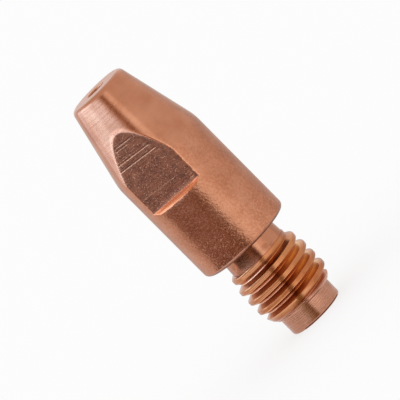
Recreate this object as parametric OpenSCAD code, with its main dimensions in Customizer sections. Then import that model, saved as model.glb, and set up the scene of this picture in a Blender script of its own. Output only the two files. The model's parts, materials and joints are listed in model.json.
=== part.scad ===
// Contact tip for wire-feed welding: one turned copper piece that screws into a torch neck
// and hands the welding current to the wire that runs through it.
// It stands on its wire inlet end, nose up. The axis is Z, and the spanner flats face -Y and +Y.

/* [Body] */
// Length from the inlet end to the nose face
overall_length = 30; // [28:0.5:45]
// Diameter of the body
body_diameter = 10; // [9.5:0.1:12]
// Radius on the rear edge of the body, at the shoulder
shoulder_radius = 0.5; // [0.1:0.05:0.8]

/* [Nose] */
// Length of the taper, from the body to the nose face
taper_length = 8.25; // [6:0.25:10]
// Diameter at which the taper would meet the nose face
nose_diameter = 6.15; // [5:0.05:7]
// Radius that blends the taper into the body
taper_radius = 5; // [1:0.5:10]
// Radius on the edge of the nose face
nose_radius = 0.6; // [0.1:0.05:0.8]

/* [Spanner flats] */
// Width across the two flats
across_flats = 8; // [7.5:0.1:9]
// Length of the flats, from the nose face to their end wall
flat_length = 11.95; // [10:0.05:14]
// Radius that the cutter leaves at the foot of the end wall
flat_corner_radius = 0.1; // [0.05:0.05:0.4]

/* [Shank] */
// Length from the inlet end to the shoulder
shank_length = 9.75; // [9:0.05:12]
// Length of the plain pilot at the inlet end
pilot_length = 1.95; // [1:0.05:2.5]
// Radius on the edge of the inlet end
pilot_radius = 0.25; // [0.1:0.05:0.5]
// Depth of the pilot below the root of the thread
pilot_relief = 0.24; // [0.1:0.01:0.5]
// Length of the plain neck under the shoulder
neck_length = 1.65; // [1:0.05:2.5]
// Depth of the neck below the root of the thread, at the shoulder
neck_relief = 0.16; // [0.13:0.01:0.5]
// How much the neck widens towards the thread, on the radius
neck_flare = 0.1; // [0:0.01:0.12]

/* [Thread] */
// Nominal diameter of the thread
thread_diameter = 8; // [7.5:0.1:9]
// Pitch of the thread, right hand
thread_pitch = 1.25; // [1:0.05:1.5]
// How far the crests stay below the nominal diameter, on the diameter
crest_allowance = 0.12; // [0.02:0.01:0.2]
// Depth of the thread, from the crests to the root
thread_depth = 0.75; // [0.5:0.01:0.8]
// Angle of the flanks from the radius
flank_angle = 26; // [15:1:30]
// Flat left on each rounded crest
crest_land = 0.17; // [0.02:0.01:0.2]
// Radius at the foot of the groove
root_radius = 0.06; // [0.03:0.01:0.1]
// Angle of the lead-in chamfer from the axis, at the pilot
lead_in_angle = 30; // [20:1:45]
// Angle of the run-out taper from the axis, towards the neck
run_out_angle = 12; // [8:1:20]
// Depth of the crests below full height where the run-out ends
run_out_depth = 0.3; // [0.1:0.05:0.4]
// Part of a turn over which the last ridge fades out, at the neck
ridge_fade = 0.5; // [0.2:0.05:0.75]
// Angle round the axis at which the groove enters above the pilot
thread_start_angle = 184; // [0:1:359]

/* [Wire bore] */
// Diameter of the welding wire
wire_diameter = 1.6; // [0.8:0.1:2.4]
// Clearance of the bore round the wire, on the diameter
wire_clearance = 0.4; // [0.1:0.05:0.5]
// Width of the broken edge at the bore's mouth
mouth_break = 0.1; // [0.02:0.01:0.2]
// Diameter of the countersink at the wire inlet
inlet_diameter = 4; // [3:0.1:4.5]
// Angle of that countersink, across the axis
inlet_angle = 60; // [45:5:120]

/* [Hidden] */
copper = [0.78, 0.5, 0.38];

// Steps round the blank, in a rounded edge, and round one turn of the thread
ROUND_STEPS = 96;
ARC_STEPS = 8;
TURN_STEPS = 36;
// Steps in half of a rounded crest, and sides of the groove's rounded foot, an odd number
CREST_STEPS = 5;
FOOT_SIDES = 3;
// How far a cutter reaches past what it cuts
OVERCUT = 0.5;

body_r = body_diameter / 2;
nose_r = nose_diameter / 2;
bore_r = (wire_diameter + wire_clearance) / 2;
inlet_r = inlet_diameter / 2;
inlet_depth = (inlet_r - bore_r) / tan(inlet_angle / 2);
taper_z = overall_length - taper_length;
taper_angle = atan2(body_r - nose_r, taper_length);
flat_z = overall_length - flat_length;

// Rolled thread: the crest's radius is what lets it run smoothly into both flanks
crest_r = (thread_diameter - crest_allowance) / 2;
root_r = crest_r - thread_depth;
arc_reach = cos(flank_angle) - (1 - sin(flank_angle)) * tan(flank_angle);
arc_run = (thread_pitch - crest_land) / 2 - thread_depth * tan(flank_angle);
crest_radius = arc_run / arc_reach - root_radius;
pilot_r = root_r - pilot_relief;
neck_r = root_r - neck_relief;
thread_z = pilot_length;
thread_end_z = shank_length - neck_length;
lead_in_z = thread_z + (crest_r - root_r) / tan(lead_in_angle);
run_out_r = crest_r - run_out_depth;
// The run-out ends in a short chamfer of 45 degrees down to the root
run_out_z = thread_end_z - (run_out_r - root_r);
full_thread_z = run_out_z - run_out_depth / tan(run_out_angle);

// Points on an arc about [x, y], from one angle to another
function arc(x, y, r, from, to, steps = ARC_STEPS) =
    [for (i = [0:steps]) let (a = from + (to - from) * i / steps) [x + r * cos(a), y + r * sin(a)]];

// Blend between the body and the taper, and between the taper and the nose face
function taper_blend() =
    arc(body_r - taper_radius, taper_z - taper_radius * tan(taper_angle / 2), taper_radius, 0, taper_angle);
function nose_edge() =
    let (r = nose_r + nose_radius * (tan(taper_angle) - 1 / cos(taper_angle)))
    arc(r, overall_length - nose_radius, nose_radius, taper_angle, 90);

// Half section of the turned blank, from the inlet round the outside to the bore's mouth
function blank_section() = concat(
    [[inlet_r, 0]],
    arc(pilot_r - pilot_radius, pilot_radius, pilot_radius, -90, 0),
    [[pilot_r, thread_z], [root_r, thread_z], [crest_r, lead_in_z]],
    [[crest_r, full_thread_z], [run_out_r, run_out_z], [root_r, thread_end_z]],
    [[neck_r + neck_flare, thread_end_z], [neck_r, shank_length]],
    arc(body_r - shoulder_radius, shank_length + shoulder_radius, shoulder_radius, -90, 0),
    taper_blend(),
    nose_edge(),
    [[bore_r + mouth_break, overall_length], [bore_r, overall_length - mouth_break]],
    [[bore_r, inlet_depth]]
);

module turned_blank() {
    rotate_extrude($fn = ROUND_STEPS) polygon(blank_section());
}

// Half section of the groove as [half width, radius], from outside the crests down to the root
function groove_half() =
    let (
        turn = 90 - flank_angle,
        crest_x = (thread_pitch - crest_land) / 2,
        crest_y = crest_r - crest_radius,
        foot_y = root_r + root_radius
    ) concat(
        [[crest_x, crest_r + OVERCUT]],
        [for (i = [1:CREST_STEPS]) let (a = turn * i / CREST_STEPS)
            [crest_x - crest_radius * sin(a), crest_y + crest_radius * cos(a)]],
        [for (i = [0:(FOOT_SIDES - 1) / 2]) let (a = turn * (1 - 2 * i / FOOT_SIDES))
            [root_radius * sin(a), foot_y - root_radius * cos(a)]]
    );

// Angle round the axis at which the middle of the groove stands at a height
function angle_at(z) = thread_start_angle + 360 * (z - thread_z) / thread_pitch;

// Height of the groove's upper side: past fade_z it opens upwards, so the ridge above it fades out
function upper_edge(z, half_width) =
    let (
        fade_length = thread_pitch * ridge_fade,
        fade_z = thread_end_z - thread_pitch / 2 - fade_length,
        faded = min(max(z - fade_z, 0) / fade_length, 1)
    ) min(z + half_width + thread_pitch * faded * faded, thread_end_z + neck_length / 2);

// The groove swept along its helix: rings of points, joined by triangles
module thread_groove() {
    half = groove_half();
    rows = len(half);
    section = concat(
        [for (p = half) [-p[0], p[1]]],
        [for (i = [rows - 1:-1:0]) half[i]]
    );
    n = len(section);
    reach = half[0][0];
    first_z = thread_z - reach;
    turns = (thread_end_z + reach - first_z) / thread_pitch;
    rings = ceil(turns * TURN_STEPS);
    points = [for (j = [0:rings])
        let (z = first_z + thread_pitch * j / TURN_STEPS, a = angle_at(z))
        for (p = section)
            [p[1] * cos(a), p[1] * sin(a), p[0] < 0 ? z + p[0] : upper_edge(z, p[0])]];
    sides = [for (j = [0:rings - 1]) for (i = [0:n - 1])
        let (a = j * n + i, b = j * n + (i + 1) % n, c = b + n, d = a + n)
        each [[a, c, b], [a, d, c]]];
    function cap(base) = [for (i = [0:rows - 2])
        [base + i, base + i + 1, base + n - 2 - i, base + n - 1 - i]];
    start = cap(0);
    end = [for (f = cap(rings * n)) [f[3], f[2], f[1], f[0]]];
    polyhedron(points, concat(start, sides, end), convexity = 2 * ceil(turns));
}

// Cutter for one flat, on the -Y side: a slab with a rounded corner at the end wall
module flat_cutter() {
    r = flat_corner_radius;
    side = concat(
        [[0, OVERCUT + flat_length], [0, r]],
        arc(-r, r, r, 0, -90),
        [[-body_r, 0], [-body_r, OVERCUT + flat_length]]
    );
    translate([-body_r, -across_flats / 2, flat_z])
        rotate([90, 0, 90])
            linear_extrude(2 * body_r) polygon(side);
}

module contact_tip() {
    color(copper)
        difference() {
            turned_blank();
            thread_groove();
            for (turn = [0, 180]) rotate(turn) flat_cutter();
        }
}

contact_tip();
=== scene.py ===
"""Welding contact tip: one turned copper piece, with its finish, a pale floor, studio light and a camera."""

import json
import math

import bmesh
import bpy
import numpy as np
from mathutils import Matrix, Vector


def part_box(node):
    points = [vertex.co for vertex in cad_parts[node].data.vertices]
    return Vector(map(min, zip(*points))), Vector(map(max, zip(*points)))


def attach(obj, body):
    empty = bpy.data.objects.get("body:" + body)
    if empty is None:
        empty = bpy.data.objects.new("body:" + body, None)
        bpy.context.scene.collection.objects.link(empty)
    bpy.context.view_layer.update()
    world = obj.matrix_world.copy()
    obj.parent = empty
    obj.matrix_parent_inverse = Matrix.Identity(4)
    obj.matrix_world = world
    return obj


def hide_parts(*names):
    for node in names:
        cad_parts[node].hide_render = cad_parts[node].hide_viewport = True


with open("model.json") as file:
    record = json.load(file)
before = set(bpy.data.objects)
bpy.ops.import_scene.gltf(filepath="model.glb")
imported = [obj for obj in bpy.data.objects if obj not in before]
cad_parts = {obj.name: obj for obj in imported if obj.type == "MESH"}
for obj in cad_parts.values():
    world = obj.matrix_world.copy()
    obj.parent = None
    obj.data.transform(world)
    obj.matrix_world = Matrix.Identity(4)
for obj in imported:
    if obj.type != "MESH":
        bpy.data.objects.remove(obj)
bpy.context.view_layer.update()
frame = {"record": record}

# Sizes of the tip in millimetres, in the frame's own axes: it stands on its inlet end, nose up
MM = 0.001
tip_low, tip_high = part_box("contact_tip")
mounts = {mount["name"]: mount for mount in frame["record"]["mounts"]}
LENGTH = (tip_high[2] - tip_low[2]) / MM
BODY_R = (tip_high[0] - tip_low[0]) / 2 / MM
BORE_R = mounts["wire_bore"]["dims"]["r_mm"]
PILOT_R = mounts["pilot"]["dims"]["r_mm"]
CREST_R = mounts["torch_thread"]["dims"]["r_mm"]
HALF_FLATS = abs(mounts["spanner_flat_front"]["pos_m"][1]) / MM
SHOULDER_Z = mounts["shoulder"]["pos_m"][2] / MM

# Nose and taper
TAPER_LENGTH = 8.25
NOSE_R = 3.075
TAPER_RADIUS = 5.0
NOSE_RADIUS = 0.6
MOUTH_BREAK = 0.1

# Spanner flats, with a broken edge all round
FLAT_LENGTH = 11.95
EDGE_BREAK = 0.2
# Their end wall: rounded rim, slope and foot, the share of the wall's depth that each takes where the wall
# runs out at its ends, and the least height of its rows there
WALL_EDGE, WALL_EDGE_SHARE, LEAST_EDGE = 0.3, 0.6, 0.05
WALL_DRAFT, WALL_DRAFT_SHARE, LEAST_DRAFT = 0.14, 0.3, 0.02
WALL_FOOT, WALL_FOOT_SHARE, LEAST_FOOT = 0.05, 0.3, 0.03
# Angle up the rim from which it has the wall's finish
WALL_FROM = math.radians(40)

# Shank
SHOULDER_RADIUS = 0.5
PILOT_RADIUS = 0.25
PILOT_RINGS = 9
RING_ROWS = 4
RING_DEPTH = 0.008
NECK_R = 3.03
NECK_FLARE = 0.1
NECK_LENGTH = 1.65
# Corner of the neck under the shoulder: steps out from the neck and down from the shoulder, then its reach
NECK_CORNER = ((0.0, 0.09), (0.0, 0.05), (0.02, 0.015))
CORNER_REACH = 0.06
INLET_R = 2.0
INLET_ANGLE = math.radians(60)

# Rolled thread, right hand
PITCH = 1.25
FLANK = math.radians(26)
ROOT_R = 3.19
ROOT_RADIUS = 0.06
CREST_LAND = 0.17
SEAM_DEPTH = 0.02
THREAD_START_ANGLE = math.radians(184)
THREAD_Z = 1.95
START_RISE = 0.1
# The rows of the helix begin below the thread: half a pitch from groove to ridge, and one pitch to spare
HELIX_LEAD = 1.5
# Lead-in above the pilot: how high it lets the ridges stand at each distance from the start
LEAD_IN_RUN = (0.0, 0.1, 0.2, 0.35, 0.6, 1.2)
LEAD_IN_RISE = (0.0, 0.1, 0.2, 0.31, 0.43, 0.75)
# Share of its height that a ridge has at each height, where the last one fades into the neck
RIDGE_FADE_Z = (6.2, 7.6, 8.3)
RIDGE_FADE = (1.0, 0.6, 0.0)

TAPER_Z = LENGTH - TAPER_LENGTH
TAPER_SLOPE = (BODY_R - NOSE_R) / TAPER_LENGTH
TAPER_ANGLE = math.atan(TAPER_SLOPE)
FLAT_Z = LENGTH - FLAT_LENGTH
FLAT_HALF_ANGLE = math.acos(HALF_FLATS / BODY_R)
THREAD_END_Z = SHOULDER_Z - NECK_LENGTH


# The mesh: rows of points from the inlet up the outside to the nose and back down the bore.
# Columns of points in a quarter turn: on the flat, at its edge, and beside it
COLUMNS_ON_FLAT, COLUMNS_AT_EDGE, COLUMNS_BESIDE = 20, 16, 28
EDGE_REACH = math.radians(3.6)

# Points on half a ridge: along its seam as shares of the land, round its crest, and round its root
SEAM_SHARES = (0, 0.35, 0.7)
CREST_POINTS, ROOT_POINTS = 9, 4

# Rows on the body below the flats, then on the end wall's rim, slope and foot
BODY_SHARES = np.linspace(0.15, 0.95, 6)
RIM_ROWS = 7
SLOPE_SHARES = (0.33, 0.67)
FOOT_ROWS = 4

# Rows on the flats, across their curved upper edge, on the taper, on the nose face and down the bore
FLAT_SHARES = np.linspace(0, 1, 14)[1:-1]
ACROSS_EDGE = np.linspace(-1, 1, 13)
EDGE_ROWS_REACH = 0.26
FLAT_UP_TO = -0.05
TAPER_SHARES = np.linspace(0, 1, 30)[1:-1]
FACE_SHARES = np.linspace(0, 0.96, 6)
BORE_ROWS_Z = np.linspace(LENGTH - 1, 3, 6)

# Limits that keep the plane of a flat finite, and the broken edge neither too wide nor too narrow
LEAST_COSINE = 1e-3
STEEPEST, LEAST_STEEP = 3, 0.02

# Points closer than this are one, and an edge sharper than this stays sharp
MERGE_DISTANCE = 0.0005 * MM
SHARP_ANGLE = math.radians(50)


def columns():
    """Angles from the front flat's normal round the axis, closer together at the edges of the flats."""
    low, high = FLAT_HALF_ANGLE - EDGE_REACH, FLAT_HALF_ANGLE + EDGE_REACH
    quarter = np.concatenate([
        np.linspace(0, low, COLUMNS_ON_FLAT, endpoint=False),
        np.linspace(low, high, COLUMNS_AT_EDGE, endpoint=False),
        np.linspace(high, math.pi / 2, COLUMNS_BESIDE, endpoint=False),
    ])
    back = quarter[:0:-1]
    return np.concatenate([
        quarter, [math.pi / 2], math.pi - back,
        math.pi + quarter, [1.5 * math.pi], 2 * math.pi - back,
    ])


TURN = columns()
COUNT = len(TURN)
ONES = np.ones(COUNT)
# The faces after each column: their angle, and whether they lie on a flat
FACE_TURN = TURN + np.diff(TURN, append=TURN[0] + 2 * math.pi) / 2
ON_FLAT = np.abs(np.cos(FACE_TURN)) > HALF_FLATS / BODY_R


def soft_min(a, b, width):
    """The lesser of two radii, rounded where they differ by less than width."""
    share = np.clip(0.5 + 0.5 * (b - a) / width, 0, 1)
    return b * (1 - share) + a * share - width * share * (1 - share)


def blank_radius(z):
    """Radius of the turned body and taper at a height, with the blend between them."""
    run = TAPER_RADIUS * math.tan(TAPER_ANGLE / 2)
    on_arc = np.clip(z - (TAPER_Z - run), 0, TAPER_RADIUS * math.sin(TAPER_ANGLE))
    blend = BODY_R - TAPER_RADIUS + np.sqrt(TAPER_RADIUS ** 2 - on_arc ** 2)
    cone = BODY_R - TAPER_SLOPE * (z - TAPER_Z)
    return np.where(z > TAPER_Z + run * math.cos(TAPER_ANGLE), cone, blend)


def flat_radius():
    """Radius at which each column meets the plane of the nearer flat."""
    return HALF_FLATS / np.maximum(np.abs(np.cos(TURN)), LEAST_COSINE)


def cut_radius(z):
    """Radius of the body with the flats milled into it, above their end wall."""
    slope = np.where(z > TAPER_Z, TAPER_SLOPE, 0)
    steepness = np.sqrt(np.minimum(np.abs(np.tan(TURN)), STEEPEST) ** 2 + slope ** 2)
    return soft_min(blank_radius(z), flat_radius(), EDGE_BREAK * np.maximum(steepness, LEAST_STEEP))


def arc(r, z, radius, start, end, steps):
    """Rings on a rounded edge about a point of the section, between two angles in degrees."""
    angles = np.radians(np.linspace(start, end, steps + 1))
    return [(r + radius * math.cos(a), z + radius * math.sin(a)) for a in angles]


def rings(points, zone):
    """Plain rows, one ring for each point of the section."""
    return [(r * ONES, z * ONES, zone) for r, z in points]


def inlet_rows():
    """Countersink, inlet face, and the pilot's rounded edge."""
    depth = (INLET_R - BORE_R) / math.tan(INLET_ANGLE / 2)
    rows = rings([(BORE_R, depth), ((BORE_R + INLET_R) / 2, depth / 2)], "bore")
    rows += rings([(INLET_R, 0), ((INLET_R + PILOT_R) / 2, 0)], "pilot")
    rows += rings(arc(PILOT_R - PILOT_RADIUS, PILOT_RADIUS, PILOT_RADIUS, -90, 0, steps=8), "pilot")
    return rows


def thread_start():
    """Height at which the thread begins on each column: it rises a little round the axis."""
    return THREAD_Z + START_RISE * np.cos(TURN - (THREAD_START_ANGLE + math.pi / 2))


def pilot_rows():
    """The pilot, with the shallow rings that the turning tool left on it."""
    start = thread_start()
    steps = RING_ROWS * PILOT_RINGS
    rows = []
    for step in range(1, steps + 1):
        ring = RING_DEPTH * (1 - math.cos(2 * math.pi * step / RING_ROWS)) / 2
        z = PILOT_RADIUS + (start - PILOT_RADIUS) * (step / steps)
        rows.append(((PILOT_R - ring) * ONES, z, "pilot"))
    return rows


def ridge_section():
    """Half section of a ridge as (distance from its middle, height over the root), middle first.

    Rolling leaves a shallow seam along the middle of the crest.
    """
    turn, full, land = math.pi / 2 - FLANK, CREST_R - ROOT_R, CREST_LAND / 2
    arc_reach = math.cos(FLANK) - (1 - math.sin(FLANK)) * math.tan(FLANK)
    crest_radius = (PITCH / 2 - land - full * math.tan(FLANK)) / arc_reach - ROOT_RADIUS
    points = [(land * share, full - SEAM_DEPTH * (1 - share ** 2)) for share in SEAM_SHARES]
    for a in np.linspace(0, turn, CREST_POINTS):
        points.append((land + crest_radius * math.sin(a), full - crest_radius * (1 - math.cos(a))))
    for a in np.linspace(turn, 0, ROOT_POINTS):
        points.append((PITCH / 2 - ROOT_RADIUS * math.sin(a), ROOT_RADIUS * (1 - math.cos(a))))
    return points


def first_ridge():
    """Height of the middle of a ridge below the thread, on each column."""
    phase = (THREAD_START_ANGLE + math.pi / 2 - TURN) / (2 * math.pi)
    return THREAD_Z - PITCH * (HELIX_LEAD + phase)


def thread_radius(z):
    """Radius of the thread at a height on each column: ridges, with their lead-in and the last one's fade."""
    nearest = np.round((z - first_ridge()) / PITCH)
    middle = first_ridge() + PITCH * nearest
    offsets, heights = zip(*ridge_section())
    height = np.interp(np.abs(z - middle), offsets, heights)
    fade = np.interp(middle, RIDGE_FADE_Z, RIDGE_FADE)
    lead_in = np.interp(z - thread_start(), LEAD_IN_RUN, LEAD_IN_RISE)
    return ROOT_R + np.minimum(height * fade, lead_in)


def thread_patch():
    """Heights of the rows along the helix, held between the pilot and the neck, and how many a pitch has."""
    half = [offset for offset, height in ridge_section()]
    section = [-offset for offset in half[-2:0:-1]] + half
    turns = math.ceil((THREAD_END_Z - first_ridge().min()) / PITCH) + 1
    rows = []
    for turn in range(turns):
        for offset in section:
            rows.append(np.clip(first_ridge() + PITCH * turn + offset, thread_start(), THREAD_END_Z))
    return rows, len(section)


def shank_rows():
    """The neck, its corner under the shoulder, and the shoulder with its rounded edge."""
    neck = [(NECK_R + NECK_FLARE, THREAD_END_Z), (NECK_R + NECK_FLARE / 2, SHOULDER_Z - NECK_LENGTH / 2)]
    neck += [(NECK_R + out, SHOULDER_Z - down) for out, down in NECK_CORNER]
    rows = rings(neck, "neck")
    rows += rings([(NECK_R + CORNER_REACH, SHOULDER_Z), ((NECK_R + BODY_R) / 2, SHOULDER_Z)], "body")
    edge = arc(BODY_R - SHOULDER_RADIUS, SHOULDER_Z + SHOULDER_RADIUS, SHOULDER_RADIUS, -90, 0, steps=10)
    rows += rings(edge, "body")
    return rows


def wall_rows():
    """Body up to the flats, then their end wall: rounded rim, slope and foot. Beside it all is plain body."""
    cut = cut_radius(FLAT_Z * ONES)
    depth = BODY_R - cut
    edge = np.minimum(WALL_EDGE, WALL_EDGE_SHARE * depth)
    foot = np.minimum(WALL_FOOT, WALL_FOOT_SHARE * depth)
    tall_edge, tall_foot = np.maximum(edge, LEAST_EDGE), np.maximum(foot, LEAST_FOOT)
    rim_z = FLAT_Z - np.clip(WALL_DRAFT_SHARE * depth, LEAST_DRAFT, WALL_DRAFT)
    low = SHOULDER_Z + SHOULDER_RADIUS
    high = rim_z - tall_edge
    rows = [(BODY_R * ONES, low + (high - low) * share, "body") for share in BODY_SHARES]
    for a in np.linspace(0, math.pi / 2, RIM_ROWS):
        zone = "body" if a < WALL_FROM else "flat"
        rows.append((BODY_R - edge * (1 - math.cos(a)), rim_z - tall_edge * (1 - math.sin(a)), zone))
    for share in SLOPE_SHARES:
        r = (BODY_R - edge) * (1 - share) + (cut + foot) * share
        rows.append((r, rim_z + (FLAT_Z - rim_z) * share, "flat"))
    for a in np.linspace(0, math.pi / 2, FOOT_ROWS):
        rows.append((cut + foot * (1 - math.sin(a)), FLAT_Z + tall_foot * (1 - math.cos(a)), "flat"))
    return rows


def nose_rows():
    """Flats and taper: rows that follow the curved upper edge of each flat, then rise to the nose."""
    inside = np.minimum(flat_radius(), BODY_R)
    edge_z = TAPER_Z + (BODY_R - inside) / TAPER_SLOPE
    lean = np.where(inside < BODY_R, np.abs(np.tan(TURN)) / TAPER_SLOPE, 0)
    reach = EDGE_ROWS_REACH * np.sqrt(1 + lean ** 2)
    foot_z = FLAT_Z + WALL_FOOT
    rows = []
    for share in FLAT_SHARES:
        z = foot_z + (edge_z - reach - foot_z) * share
        rows.append((cut_radius(z), z, "flat"))
    for offset in ACROSS_EDGE:
        z = edge_z + reach * offset
        rows.append((cut_radius(z), z, "flat" if offset < FLAT_UP_TO else "taper"))
    centre = NOSE_R + NOSE_RADIUS * (math.tan(TAPER_ANGLE) - 1 / math.cos(TAPER_ANGLE))
    nose_z = LENGTH - NOSE_RADIUS
    top = nose_z + NOSE_RADIUS * math.sin(TAPER_ANGLE)
    for share in TAPER_SHARES:
        z = edge_z + reach + (top - edge_z - reach) * share
        rows.append((cut_radius(z), z, "taper"))
    edge = arc(centre, nose_z, NOSE_RADIUS, math.degrees(TAPER_ANGLE), 90, steps=12)
    rows += rings(edge[:-1], "taper")
    inner = BORE_R + MOUTH_BREAK
    rows += rings([(centre + (inner - centre) * share, LENGTH) for share in FACE_SHARES], "face")
    rows += rings(arc(inner, LENGTH - MOUTH_BREAK, MOUTH_BREAK, 90, 180, steps=5), "bore")
    rows += rings([(BORE_R, z) for z in BORE_ROWS_Z], "bore")
    return rows


ZONES = ["bore", "pilot", "thread", "neck", "body", "taper", "flat", "face"]


class TipMesh:
    """Points and faces of the tip, gathered row by row."""

    def __init__(self):
        self.points, self.faces, self.zones = [], [], []

    def add_row(self, r, z):
        start = sum(len(part) for part in self.points)
        self.points.append(np.stack([r * np.sin(TURN), -r * np.cos(TURN), z * ONES], axis=1))
        return start

    def join(self, low, high, zone):
        """Quads between two rows given by their first points. Beside the flats, their rows are plain body."""
        for i in range(COUNT):
            j = (i + 1) % COUNT
            self.faces.append((low + i, low + j, high + j, high + i))
            self.zones.append("body" if zone == "flat" and not ON_FLAT[i] else zone)

    def add_rows(self, rows, below=None, zone_below=None):
        """Rows one above the other, joined to the row below if there is one."""
        for r, z, zone in rows:
            row = self.add_row(r, z)
            if below is not None:
                self.join(below, row, zone_below)
            below, zone_below = row, zone
        return below

    def add_helix(self, heights, step):
        """The thread's rows: after one turn each runs on into the row one pitch above."""
        starts = [self.add_row(thread_radius(z), z) for z in heights]
        end = COUNT - 1
        for k in range(len(starts) - 1):
            low, high = starts[k], starts[k + 1]
            for i in range(end):
                self.faces.append((low + i, low + i + 1, high + i + 1, high + i))
                self.zones.append("thread")
            if k + step + 1 < len(starts):
                self.faces.append((low + end, starts[k + step], starts[k + step + 1], high + end))
                self.zones.append("thread")
        return starts[0], starts[-1]

    def build(self, name):
        mesh = bpy.data.meshes.new(name)
        mesh.from_pydata((np.concatenate(self.points) * MM).tolist(), [], self.faces)
        mesh.polygons.foreach_set("material_index", [ZONES.index(zone) for zone in self.zones])
        return mesh


def tip_piece():
    """The whole tip as one piece: inlet and pilot, thread, and the rest up to the nose and down the bore."""
    tip = TipMesh()
    last_pilot = tip.add_rows(inlet_rows() + pilot_rows())
    first_thread, last_thread = tip.add_helix(*thread_patch())
    tip.join(last_pilot, first_thread, "pilot")
    upper = shank_rows() + wall_rows() + nose_rows()
    last_bore = tip.add_rows(upper, last_thread, "neck")
    tip.join(last_bore, 0, "bore")
    mesh = tip.build("contact_tip_copper")
    piece = bpy.data.objects.new("contact_tip_copper", mesh)
    bpy.context.scene.collection.objects.link(piece)
    merge_points(mesh)
    return piece


def merge_points(mesh):
    """Joins points that fell together at the thread's ends, and drops the faces that closed up there."""
    work = bmesh.new()
    work.from_mesh(mesh)
    bmesh.ops.remove_doubles(work, verts=work.verts, dist=MERGE_DISTANCE)
    bmesh.ops.dissolve_degenerate(work, edges=work.edges, dist=MERGE_DISTANCE)
    bmesh.ops.recalc_face_normals(work, faces=work.faces)
    for face in work.faces:
        face.smooth = True
    work.to_mesh(mesh)
    work.free()
    mesh.set_sharp_from_angle(angle=SHARP_ANGLE)


# Shader maths

class Socket:
    """An output socket of a node tree: arithmetic on it adds Math nodes."""

    def __init__(self, link):
        self.link = link

    @staticmethod
    def node(tree, kind, settings=None, inputs=None, output=0):
        """Adds a node: its settings first, then the values or links of its sockets."""
        made = tree.nodes.new(kind)
        for key, value in (settings or {}).items():
            setattr(made, key, value)
        for key, value in (inputs or {}).items():
            if isinstance(value, Socket):
                tree.links.new(value.link, made.inputs[key])
            else:
                made.inputs[key].default_value = value
        return Socket(made.outputs[output])

    def math(self, operation, first, second=0.0):
        return Socket.node(self.link.id_data, "ShaderNodeMath", {"operation": operation},
                           {0: first, 1: second})

    def __add__(self, other):
        return self.math("ADD", self, other)

    __radd__ = __add__

    def __sub__(self, other):
        return self.math("SUBTRACT", self, other)

    def __rsub__(self, other):
        return self.math("SUBTRACT", other, self)

    def __mul__(self, other):
        return self.math("MULTIPLY", self, other)

    __rmul__ = __mul__

    def __truediv__(self, other):
        return self.math("DIVIDE", self, other)

    def __pow__(self, power):
        return self.math("POWER", self, power)

    def __abs__(self):
        return self.math("ABSOLUTE", self)


def clamp01(value):
    return Socket.node(value.link.id_data, "ShaderNodeClamp", None, {"Value": value})


def step_up(value, low, high):
    """Goes from 0 to 1 as a value goes from low to high."""
    return Socket.node(value.link.id_data, "ShaderNodeMapRange", {"interpolation_type": "SMOOTHSTEP"},
                       {"Value": value, "From Min": low, "From Max": high})


def mix_colour(factor, first, second):
    """Goes from one colour to another. A Mix node repeats its sockets' names, so they go by number."""
    return Socket.node(factor.link.id_data, "ShaderNodeMix", {"data_type": "RGBA"},
                       {0: factor, 6: first, 7: second}, output=2)


# A turn of the gloss that stretches it across the turning lines
ACROSS_TURNING = 0.25


class Finish:
    """A copper finish in the making: places on the surface in millimetres, and textures over them."""

    def __init__(self, name):
        self.material = bpy.data.materials.new(name)
        self.material.use_nodes = True
        self.tree = self.material.node_tree
        self.tree.nodes.clear()
        place = Socket.node(self.tree, "ShaderNodeTexCoord", output="Object")
        self.at = Socket.node(self.tree, "ShaderNodeVectorMath", {"operation": "SCALE"},
                              {0: place, "Scale": 1 / MM})
        split = Socket.node(self.tree, "ShaderNodeSeparateXYZ", None, {0: self.at}).link.node
        self.x, self.y, self.z = (Socket(split.outputs[axis]) for axis in "XYZ")

    def radius(self):
        """Distance from the axis."""
        return (self.x * self.x + self.y * self.y) ** 0.5

    def rise(self):
        """How far the surface faces up: 1 is straight up, -1 straight down."""
        facing = Socket.node(self.tree, "ShaderNodeTexCoord", output="Normal")
        return Socket.node(self.tree, "ShaderNodeSeparateXYZ", None, {0: facing}, output="Z")

    def stretched(self, x=1.0, z=1.0):
        """Places for a texture drawn out along x or z."""
        return Socket.node(self.tree, "ShaderNodeVectorMath", {"operation": "MULTIPLY"},
                           {0: self.at, 1: (x, 1, z)})

    def grain(self, size, detail=2.0, at=None, roughness=0.5):
        """Noise with features of about a size in millimetres."""
        return Socket.node(self.tree, "ShaderNodeTexNoise", None, {
            "Vector": at or self.at, "Scale": 1 / size, "Detail": detail, "Roughness": roughness})

    def lines(self, along, pitch, detail=2.0):
        """Fine irregular lines across a length, about a pitch apart."""
        return Socket.node(self.tree, "ShaderNodeTexNoise", {"noise_dimensions": "1D"}, {
            "W": along / pitch, "Detail": detail, "Roughness": 0.6})

    def close(self, colour, roughness, height, depth, anisotropic=0.0):
        """Ends in a metal shader with a bump of a depth in millimetres."""
        normal = Socket.node(self.tree, "ShaderNodeBump", None, {
            "Strength": 1.0, "Distance": depth * MM, "Height": height})
        shader = Socket.node(self.tree, "ShaderNodeBsdfPrincipled", None, {
            "Base Color": colour, "Metallic": 1.0, "Roughness": roughness, "Normal": normal,
            "Anisotropic": anisotropic, "Anisotropic Rotation": ACROSS_TURNING})
        out = self.tree.nodes.new("ShaderNodeOutputMaterial")
        self.tree.links.new(shader.link, out.inputs["Surface"])
        return self.material


def shade(red, green, blue):
    """A colour written as 0 to 255 on a screen, for a shader."""
    linear = [c / 255 / 12.92 if c <= 10 else ((c / 255 + 0.055) / 1.055) ** 2.4 for c in (red, green, blue)]
    return (*linear, 1)


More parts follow.
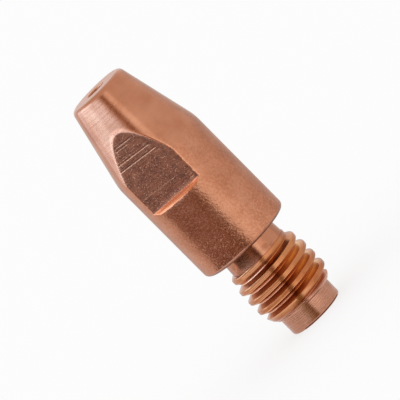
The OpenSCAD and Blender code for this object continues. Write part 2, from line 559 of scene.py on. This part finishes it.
# Colours of the copper, clean and tarnished, and colours that paint light and shade on it
COPPER = shade(196, 134, 104)
COPPER_DEEP = shade(174, 110, 80)
COPPER_PALE = shade(222, 168, 144)
COPPER_DARK = shade(150, 92, 64)
THREAD_CREST = shade(188, 120, 78)
THREAD_GOLD = shade(176, 104, 62)
# Painted light and shade on the thread: pale grooves on the lit side, pale undersides, dark upper sides, and
# a bright and a plain foot
THREAD_GROOVE_LIGHT = shade(224, 168, 110)
THREAD_UNDER_LIGHT = shade(228, 176, 136)
THREAD_OVER_SHADE = shade(130, 64, 30)
FOOT_PLAIN = shade(178, 104, 56)
FOOT_HIGHLIGHT = shade(228, 174, 142)
# Stains in the pits, also used as painted shade at the shoulder's lower edge
STAIN_AND_SHADE = shade(116, 76, 64)
MILLED_DARK = shade(108, 71, 58)
# Bright scratches on the flat, also used for painted glints
SCRATCH_AND_GLINT = shade(222, 166, 130)
WALL = shade(236, 148, 100)
# Painted shade on the rounded rim above the flats' end wall
WALL_RIM_SHADE = shade(196, 112, 72)
# Pale flecks on the body, also used as a painted highlight along the flats' edges
FLECK_AND_EDGE_HIGHLIGHT = shade(236, 162, 126)

# Heights between which the flecks on the body grow fewer, and the share that they lose
FLECK_FADE = (11.5, 15.0)
FLECK_LOSS = 0.65

# Scratches across the front flat: height, the places along x where each starts and ends, and its strength
SCRATCHES = (
    (23.5, -2.4, 1.8, 0.8),
    (22.88, -2.7, 2.1, 0.9),
    (25.02, -1.2, 0.9, 0.7),
    (24.7, -1.5, 0.3, 0.6),
    (19.55, -2.8, 1.8, 0.35),
    (18.6, 2.1, 2.9, 0.7),
    (18.9, 2.3, 3.0, 0.5),
)
SCRATCH_HALF = 0.08
SCRATCH_TILT = -0.07
SCRATCH_FADE = 0.3

# Side that is painted as lit, as an angle from the front flat's normal
BRIGHT_TURN = math.radians(113)
# Spans in that direction over which the painted shade ends, the painted dark upper sides begin, and the
# foot's painted highlight ends
PAINTED_SHADE_END = (0.6, 1.9)
DARK_START = (-3.3, -2.7)
FOOT_HIGHLIGHT_END = (-1.0, 0.3)
# Heights between which the crests go from golden to plain copper
GOLDEN_END = (4.8, 6.0)
# Span along y over which the stains on the neck's front end
NECK_STAIN_END = (-2.2, -1.4)


def turned_skin(name, anisotropic):
    """Body and taper: fine turning lines on the taper, a tumbled grain with pits and flecks on the body,
    painted shade at the shoulder's lower edge and on the rim above the flats' end wall, and a painted
    highlight along the flats' edges.
    """
    finish = Finish(name)
    taper = step_up(finish.z, TAPER_Z - 1.5, TAPER_Z + 0.6)
    feed = finish.lines(finish.z, 0.2, detail=1.0)
    grain = finish.grain(0.24, detail=1.0)
    patches = finish.grain(2.2)
    pits = step_up(finish.grain(0.3), 0.62, 0.7)
    fine = (1 - taper) * grain + taper * feed
    tone = step_up(fine * 0.45 + patches * 0.55, 0.28, 0.72)
    colour = mix_colour(tone, COPPER_DEEP, COPPER)
    colour = mix_colour(pits * (0.2 - 0.1 * taper), colour, STAIN_AND_SHADE)
    low = 1 - FLECK_LOSS * step_up(finish.z, *FLECK_FADE)
    flecks = step_up(finish.grain(0.15, detail=0.0), 0.56, 0.72) * (1 - taper) * low
    colour = mix_colour(flecks * 0.35, colour, FLECK_AND_EDGE_HIGHLIGHT)
    # Painted shade: darker towards the shoulder's lower edge, where it meets the neck
    shoulder_shade = 1 - step_up(finish.z, SHOULDER_Z + 0.1, SHOULDER_Z + 0.35)
    colour = mix_colour(shoulder_shade * 0.95, colour, STAIN_AND_SHADE)
    beside = abs(finish.y)
    # Painted highlight: paler along the flats' broken edges
    edge = step_up(beside, HALF_FLATS - 0.15, HALF_FLATS - 0.06) * step_up(finish.z, FLAT_Z - 0.1, FLAT_Z)
    colour = mix_colour(edge * 0.5, colour, FLECK_AND_EDGE_HIGHLIGHT)
    # Painted shade: a darker tint on the rounded rim above the flats' end wall, which tones down its
    # reflection
    below_wall = step_up(finish.z, FLAT_Z - 0.5, FLAT_Z - 0.3) * (1 - step_up(finish.z, FLAT_Z, FLAT_Z + 0.1))
    on_rim = below_wall * step_up(beside, HALF_FLATS + 0.05, HALF_FLATS + 0.3)
    colour = mix_colour(on_rim, colour, WALL_RIM_SHADE)
    height = (1 - taper) * grain * 1.2 + taper * finish.lines(finish.z, 0.25, detail=0.0) * 0.4
    return finish.close(colour, 0.25 - 0.07 * taper + 0.1 * fine + 0.12 * flecks, height, 0.02, anisotropic)


def tumbled_body():
    return turned_skin("tumbled_body", 0.0)


def turned_taper():
    return turned_skin("turned_taper", 0.8)


def milled_flat():
    """A flat: dark and grainy, with cutter streaks, painted glints, a few bright scratches with painted shade
    beside them, and a clean end wall.
    """
    finish = Finish("milled_flat")
    streaks = finish.grain(0.2, at=finish.stretched(x=0.1))
    speck = finish.grain(0.15, roughness=0.6)
    # Painted glints: pale specks of colour that stand in for sparkle
    glints = step_up(finish.grain(0.15, detail=1.0, at=finish.stretched(x=0.9, z=1.1)), 0.6, 0.72)
    patches = finish.grain(0.7)
    ragged = finish.grain(0.2) - 0.5
    scratched, scratch_shade = 0, 0
    front = 1 - step_up(finish.y, -1, 1)
    for z, start, end, strength in SCRATCHES:
        off = finish.z - z - SCRATCH_TILT * finish.x + ragged * 0.1
        begun = step_up(finish.x, start, start + SCRATCH_FADE)
        ended = step_up(finish.x, end - SCRATCH_FADE, end)
        run = begun * (1 - ended) * front * strength
        # Each scratch is pale: partly fresh copper, partly painted highlight
        scratched = scratched + (1 - step_up(abs(off), 0, SCRATCH_HALF)) * run
        # Painted shade: a dark line just above each scratch
        scratch_shade = scratch_shade + (1 - step_up(abs(off - 2 * SCRATCH_HALF), 0, SCRATCH_HALF)) * run
    scratched, scratch_shade = clamp01(scratched), clamp01(scratch_shade)
    tone = step_up(streaks * 0.25 + speck * 0.4 + patches * 0.35, 0.34, 0.6)
    colour = mix_colour(0.15 + 0.7 * tone, MILLED_DARK, COPPER_DEEP)
    colour = mix_colour(glints * 0.5, colour, SCRATCH_AND_GLINT)
    colour = mix_colour(scratch_shade * 0.6, colour, MILLED_DARK)
    colour = mix_colour(scratched, colour, SCRATCH_AND_GLINT)
    wall = 1 - step_up(finish.z, FLAT_Z + 0.01, FLAT_Z + 0.04)
    colour = mix_colour(wall, colour, WALL)
    height = streaks * 0.3 + speck * 0.4 + glints * 0.2 - scratched * 0.5 + scratch_shade * 0.3
    return finish.close(colour, 0.4 + 0.1 * speck + 0.2 * wall, height * (1 - wall), 0.03)


def rolled_thread():
    """Rolled thread: golden crests, with painted light and shade that differ round the axis.

    On the side painted as lit the grooves are pale. Round the rest, the upper side of each ridge has painted
    shade, its underside painted light, and the foot a painted highlight.
    """
    finish = Finish("rolled_thread")
    grain = finish.grain(0.8, detail=0.0)
    radius = finish.radius()
    crest = step_up(radius, ROOT_R + 0.1, CREST_R - 0.05)
    foot = 1 - step_up(radius, ROOT_R + 0.02, ROOT_R + 0.08)
    begun = step_up(finish.z, THREAD_Z + 0.6, THREAD_Z + 1.2)
    inside = begun * (1 - step_up(finish.z, THREAD_END_Z - 1.1, THREAD_END_Z - 0.6))
    side = math.sin(BRIGHT_TURN) * finish.x - math.cos(BRIGHT_TURN) * finish.y
    # The mask below is 1 on the side painted as shaded and 0 on the side painted as lit
    shaded_side = 1 - step_up(side, *PAINTED_SHADE_END)
    rise = finish.rise()
    under = 1 - step_up(rise, -0.7, -0.25)
    mottle = step_up(finish.grain(0.9, detail=1.0), 0.4, 0.62)
    golden = (1 - step_up(finish.z, *GOLDEN_END)) * (0.55 + 0.45 * mottle)
    colour = mix_colour(golden, THREAD_CREST, THREAD_GOLD)
    # Painted light: the grooves on the lit side are pale, as if lit by the ridges beside them
    colour = mix_colour(inside * (1 - crest) * (1 - shaded_side), colour, THREAD_GROOVE_LIGHT)
    # Painted light: the underside of each ridge is pale on the shaded side
    colour = mix_colour(begun * under * shaded_side, colour, THREAD_UNDER_LIGHT)
    # Painted shade: the upper side of each ridge, and of the first ridge, is dark on the shaded side
    dark = shaded_side * step_up(side, *DARK_START)
    colour = mix_colour(begun * step_up(rise, 0.3, 0.7) * dark, colour, THREAD_OVER_SHADE)
    first = step_up(finish.z, THREAD_Z + 0.35, THREAD_Z + 0.6) * step_up(rise, 0.05, 0.5)
    colour = mix_colour(first * (1 - begun) * dark, colour, THREAD_OVER_SHADE)
    # Painted highlight: the foot of each groove is bright on the shaded side and plain on the lit side
    colour = mix_colour(foot, colour, mix_colour(step_up(side, *FOOT_HIGHLIGHT_END), FOOT_HIGHLIGHT, FOOT_PLAIN))
    turned = 1 - step_up(finish.z, THREAD_Z + 0.25, THREAD_Z + 0.6)
    feed = step_up(finish.lines(finish.z, 0.16, detail=0.0), 0.4, 0.6)
    colour = mix_colour(turned, colour, mix_colour(feed, COPPER_DARK, COPPER_PALE))
    return finish.close(colour, 0.24 - 0.05 * crest, grain, 0.003)


def burnished_neck():
    """Neck: smooth and bright, with dull stains on the front."""
    finish = Finish("burnished_neck")
    feed = finish.lines(finish.z, 0.4)
    grain = finish.grain(0.6)
    colour = mix_colour(clamp01(feed * 0.6 + grain * 0.4), COPPER_DEEP, COPPER)
    front = 1 - step_up(finish.y, *NECK_STAIN_END)
    colour = mix_colour(front * step_up(grain, 0.42, 0.62) * 0.7, colour, COPPER_DARK)
    return finish.close(colour, 0.17 + 0.08 * feed, grain, 0.002)


def turned_pilot():
    """Pilot: fine turning lines, dark and pale."""
    finish = Finish("turned_pilot")
    feed = finish.lines(finish.z, 0.15, detail=0.0)
    grain = finish.grain(0.3)
    tone = step_up(feed * 0.85 + grain * 0.15, 0.36, 0.64)
    colour = mix_colour(tone * 0.75, COPPER_DARK, COPPER_PALE)
    return finish.close(colour, 0.2 + 0.06 * grain, grain, 0.003, anisotropic=0.3)


def faced_nose():
    finish = Finish("faced_nose")
    feed = finish.lines(finish.radius(), 0.3)
    colour = mix_colour(feed, COPPER_DEEP, COPPER_PALE)
    return finish.close(colour, 0.26 + 0.1 * feed, feed, 0.004)


def drilled_bore():
    finish = Finish("drilled_bore")
    feed = finish.lines(finish.z, 0.3)
    colour = mix_colour(feed, THREAD_CREST, COPPER)
    return finish.close(colour, 0.3 + 0.1 * feed, feed, 0.006)


FINISHES = {
    "bore": drilled_bore, "pilot": turned_pilot, "thread": rolled_thread, "neck": burnished_neck,
    "body": tumbled_body, "taper": turned_taper, "flat": milled_flat, "face": faced_nose,
}

piece = tip_piece()
for zone in ZONES:
    piece.data.materials.append(FINISHES[zone]())
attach(piece, "root")
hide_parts("contact_tip")


# Camera: it looks a little down on the upright tip, and is rolled so that the nose leans left.
# The focal length and the place of the tip's middle are in pixels of a square picture
CAMERA_AZIMUTH = math.radians(23.3)
CAMERA_ELEVATION = math.radians(8.63)
CAMERA_ROLL = math.radians(44.82)
CAMERA_DISTANCE = 0.4253
IMAGE_SIDE = 400
FOCAL_PIXELS = 4509
SENSOR = 36
TIP_MIDDLE_PIXEL = (206.66, 201.99)
TIP_MIDDLE = Vector((0, 0, LENGTH / 2 * MM))


def direction(azimuth, elevation):
    """A direction from the tip, by angles in radians from the front flat's normal and from the floor."""
    level = math.cos(elevation)
    return Vector((math.sin(azimuth) * level, -math.cos(azimuth) * level, math.sin(elevation)))


def add_camera():
    data = bpy.data.cameras.new("camera")
    data.sensor_width = SENSOR
    data.lens = FOCAL_PIXELS / IMAGE_SIDE * SENSOR
    camera = bpy.data.objects.new("camera", data)
    bpy.context.scene.collection.objects.link(camera)
    back = direction(CAMERA_AZIMUTH, CAMERA_ELEVATION)
    level = Vector((math.cos(CAMERA_AZIMUTH), math.sin(CAMERA_AZIMUTH), 0))
    upright = back.cross(level)
    right = math.cos(CAMERA_ROLL) * level - math.sin(CAMERA_ROLL) * upright
    up = math.sin(CAMERA_ROLL) * level + math.cos(CAMERA_ROLL) * upright
    pixel = CAMERA_DISTANCE / FOCAL_PIXELS
    left_by, up_by = ((middle - IMAGE_SIDE / 2) * pixel for middle in TIP_MIDDLE_PIXEL)
    place = TIP_MIDDLE + back * CAMERA_DISTANCE - right * left_by + up * up_by
    camera.matrix_world = Matrix((
        (right.x, up.x, back.x, place.x),
        (right.y, up.y, back.y, place.y),
        (right.z, up.z, back.z, place.z),
        (0, 0, 0, 1),
    ))
    bpy.context.scene.camera = camera


# Stage: a pale floor, soft lamps, and cards beside the tip that its metal mirrors

def stage_material(name, shader_of):
    """A material whose shader comes from a function of its node tree."""
    material = bpy.data.materials.new(name)
    material.use_nodes = True
    tree = material.node_tree
    tree.nodes.clear()
    out = tree.nodes.new("ShaderNodeOutputMaterial")
    tree.links.new(shader_of(tree).link, out.inputs["Surface"])
    return material


def matt(colour):
    return lambda tree: Socket.node(tree, "ShaderNodeBsdfDiffuse", None, {"Color": (*colour, 1)})


def toned(colour):
    """A shader of one even tone, as a lit card has."""
    return lambda tree: Socket.node(tree, "ShaderNodeEmission", None,
                                    {"Color": (*colour, 1), "Strength": 1.0})


def glowing(strength):
    """A shader that glows white."""
    return lambda tree: Socket.node(tree, "ShaderNodeEmission", None, {"Strength": strength})


FLOOR_GREY = 0.92
FLOOR_WHITE_SHARE = 0.7
FLOOR_HALF = 1.5


def floor_shader(tree):
    """Pale floor that camera, mirror and glass rays see nearly white, with the object's shadow kept."""
    ray = Socket.node(tree, "ShaderNodeLightPath").link.node
    shown = [Socket(ray.outputs[name]) for name in ("Is Camera Ray", "Is Glossy Ray", "Is Transmission Ray")]
    factor = clamp01(shown[0] + shown[1] + shown[2]) * FLOOR_WHITE_SHARE
    pale = matt((FLOOR_GREY, FLOOR_GREY, FLOOR_GREY))(tree)
    return Socket.node(tree, "ShaderNodeMixShader", None, {0: factor, 1: pale, 2: glowing(1.0)(tree)})


def stage_sheet(name, corners, shader_of):
    """A sheet through rows of two corners each, one row after the other."""
    mesh = bpy.data.meshes.new(name)
    mesh.from_pydata(corners, [], [(i, i + 1, i + 3, i + 2) for i in range(0, len(corners) - 2, 2)])
    mesh.materials.append(stage_material(name, shader_of))
    sheet = bpy.data.objects.new(name, mesh)
    bpy.context.scene.collection.objects.link(sheet)
    return sheet


def toward(azimuth, distance, z=0.0):
    """A point by its direction from the axis and its height: 0 is below the camera, plus is to its right."""
    a = CAMERA_AZIMUTH + math.radians(azimuth)
    return (math.sin(a) * distance, -math.cos(a) * distance, z)


def add_floor():
    ends = (-FLOOR_HALF, FLOOR_HALF)
    stage_sheet("floor", [(x, y, 0) for y in ends for x in ends], floor_shader)


def add_card(name, corners, shader_of):
    """A card that only shows in the metal."""
    card = stage_sheet(name, corners, shader_of)
    card.visible_camera = False
    card.visible_diffuse = False
    card.visible_shadow = False


CARD_STEPS = 25


def floor_sector(start, end, near, far, lift):
    """Corners of a card on the floor, between two directions and two distances from the axis."""
    return [toward(a, r, lift) for a in np.linspace(start, end, CARD_STEPS) for r in (near, far)]


def upright_sheet(start, end, distance, low, high):
    """Corners of a card that stands round the tip at a distance, between two directions and two heights."""
    return [toward(a, distance, z) for a in np.linspace(start, end, CARD_STEPS) for z in (low, high)]


# Directions that the cards cover, in degrees, and their places in metres
LEFT, FRONT, BACK = (-92, -14), (-14, 5), (105, 215)
THREAD_LEFT, SHANK_FRONT = (-80, -8), (-8, 4)
LIFT = 0.0005
FLOOR_NEAR, FLOOR_MIDDLE, FLOOR_FAR = 0.026, 0.138, 0.25
FAR_WALL_TOP = 0.04
SHANK_SHEET = 0.008
THREAD_HEIGHTS = (0.003, 0.0041, 0.0053, 0.0078)
NECK_HEIGHTS = (0.0078, 0.0094)
BOUNCE_AT, BOUNCE_TOP = 0.06, 0.026

DARK = toned((0.13, 0.05, 0.015))
BROWN = toned((0.34, 0.185, 0.11))
PALE_BROWN = toned((0.5, 0.3, 0.19))
GREY = toned((0.75, 0.72, 0.7))

# Sheets at the left of the thread, from the lowest up: name and colour
THREAD_SHEETS = (
    ("thread_low", (0.5, 0.38, 0.3)),
    ("thread_middle", (0.86, 0.85, 0.8)),
    ("thread_high", (1.35, 1.6, 2.0)),
)
# Sheets in front of the neck: name, directions and colour
NECK_SHEETS = (
    ("neck_shade_left", (-73, -32), (0.13, 0.09, 0.06)),
    ("neck_shade_middle", (-32, -8), (0.22, 0.125, 0.06)),
    ("neck_shade_right", SHANK_FRONT, (0.14, 0.065, 0.025)),
)

# Shades on the floor close to the tip: directions between which each lies, and its colour
FOOT_STREAK = (
    (-30, -19, (0.75, 0.72, 0.66)),
    (-19, -9, (0.5, 0.43, 0.3)),
    (-9, 3, (0.33, 0.22, 0.1)),
    (3, 7, (0.7, 0.68, 0.6)),
)
STREAK_NEAR, STREAK_LIFT = 0.0032, 0.0002


def add_far_cards():
    """Brown and dark cards on the floor at the left and in front, each with a wall at its end."""
    add_card("brown_card", floor_sector(*LEFT, FLOOR_NEAR, FLOOR_MIDDLE, LIFT), BROWN)
    add_card("far_card", floor_sector(*LEFT, FLOOR_MIDDLE, FLOOR_FAR, LIFT), PALE_BROWN)
    add_card("brown_wall", upright_sheet(*LEFT, FLOOR_FAR, LIFT, FAR_WALL_TOP), DARK)
    add_card("dark_card", floor_sector(*FRONT, FLOOR_NEAR, FLOOR_FAR, LIFT), DARK)
    add_card("dark_wall", upright_sheet(*FRONT, FLOOR_FAR, LIFT, FAR_WALL_TOP), DARK)


def add_shank_cards():
    """Small cards close to the thread, the neck and the pilot."""
    for (name, colour), low, high in zip(THREAD_SHEETS, THREAD_HEIGHTS, THREAD_HEIGHTS[1:]):
        add_card(name, upright_sheet(*THREAD_LEFT, SHANK_SHEET, low, high), toned(colour))
    add_card("ridge_glow", floor_sector(*THREAD_LEFT, 0.0042, 0.0076, 0.0021), glowing(1.2))
    shade_sheet = upright_sheet(*SHANK_FRONT, SHANK_SHEET, THREAD_HEIGHTS[0], THREAD_HEIGHTS[-1])
    add_card("thread_shade", shade_sheet, toned((0.42, 0.3, 0.2)))
    for name, directions, colour in NECK_SHEETS:
        add_card(name, upright_sheet(*directions, SHANK_SHEET, *NECK_HEIGHTS), toned(colour))
    for index, (start, end, colour) in enumerate(FOOT_STREAK):
        streak = floor_sector(start, end, STREAK_NEAR, FLOOR_NEAR, STREAK_LIFT)
        add_card("foot_streak_%d" % index, streak, toned(colour))
    add_card("foot_shade", floor_sector(-40, 70, 0.002, 0.0031, 0.00002), toned((0.3, 0.16, 0.09)))


def add_light_cards():
    """A shade below the camera, grey cards behind the tip, and bright ones at its right."""
    add_card("camera_shade", upright_sheet(-9, 5, 0.15, 0.002, 0.13), toned((0.4, 0.22, 0.13)))
    add_card("grey_card", floor_sector(*BACK, 0.006, 0.6, 0.0003), GREY)
    add_card("grey_wall", upright_sheet(126, 180, 0.3, LIFT, 0.06), GREY)
    add_card("bounce_card", upright_sheet(8, 24, BOUNCE_AT, LIFT, BOUNCE_TOP), toned((1.6, 1.85, 1.95)))
    add_card("bounce_side", upright_sheet(24, 46, BOUNCE_AT, LIFT, BOUNCE_TOP), glowing(1.25))
    add_card("bounce_foot", floor_sector(8, 44, 0.0045, BOUNCE_AT, LIFT), glowing(1.2))


# Soft lamps: azimuth from the camera and elevation in degrees, width and height, radiance, and colour
LAMPS = (
    ("left_lamp", -75, 31, (0.5, 0.15), 1.4, (0.52, 1.08, 1.85)),
    ("side_lamp", -82, 31, (0.16, 0.15), 1.0, (0.55, 1.2, 1.9)),
    ("right_lamp", 17, 24, (0.05, 0.1), 0.5, (1.0, 1.25, 1.35)),
)
LAMP_DISTANCE = 0.2


def add_lamp(name, azimuth, elevation, size, radiance, colour):
    """A soft lamp that faces the middle of the tip."""
    data = bpy.data.lights.new(name, "AREA")
    data.shape = "RECTANGLE"
    data.size, data.size_y = size
    data.energy = radiance * math.pi * size[0] * size[1]
    data.color = colour
    lamp = bpy.data.objects.new(name, data)
    bpy.context.scene.collection.objects.link(lamp)
    away = direction(CAMERA_AZIMUTH + math.radians(azimuth), math.radians(elevation))
    lamp.location = TIP_MIDDLE + away * LAMP_DISTANCE
    lamp.rotation_mode = "QUATERNION"
    lamp.rotation_quaternion = away.to_track_quat("Z", "Y")
    lamp.visible_camera = False
    lamp.visible_diffuse = False


SKY_STRENGTH = 1.0


def add_world():
    world = bpy.data.worlds.new("studio")
    bpy.context.scene.world = world
    world.use_nodes = True
    tree = world.node_tree
    tree.nodes.clear()
    sky = Socket.node(tree, "ShaderNodeBackground", None, {"Color": (1, 1, 1, 1), "Strength": SKY_STRENGTH})
    out = tree.nodes.new("ShaderNodeOutputWorld")
    tree.links.new(sky.link, out.inputs["Surface"])


add_camera()
add_floor()
add_far_cards()
add_shank_cards()
add_light_cards()
for lamp in LAMPS:
    add_lamp(*lamp)
add_world()
bpy.context.scene.view_settings.view_transform = "Standard"
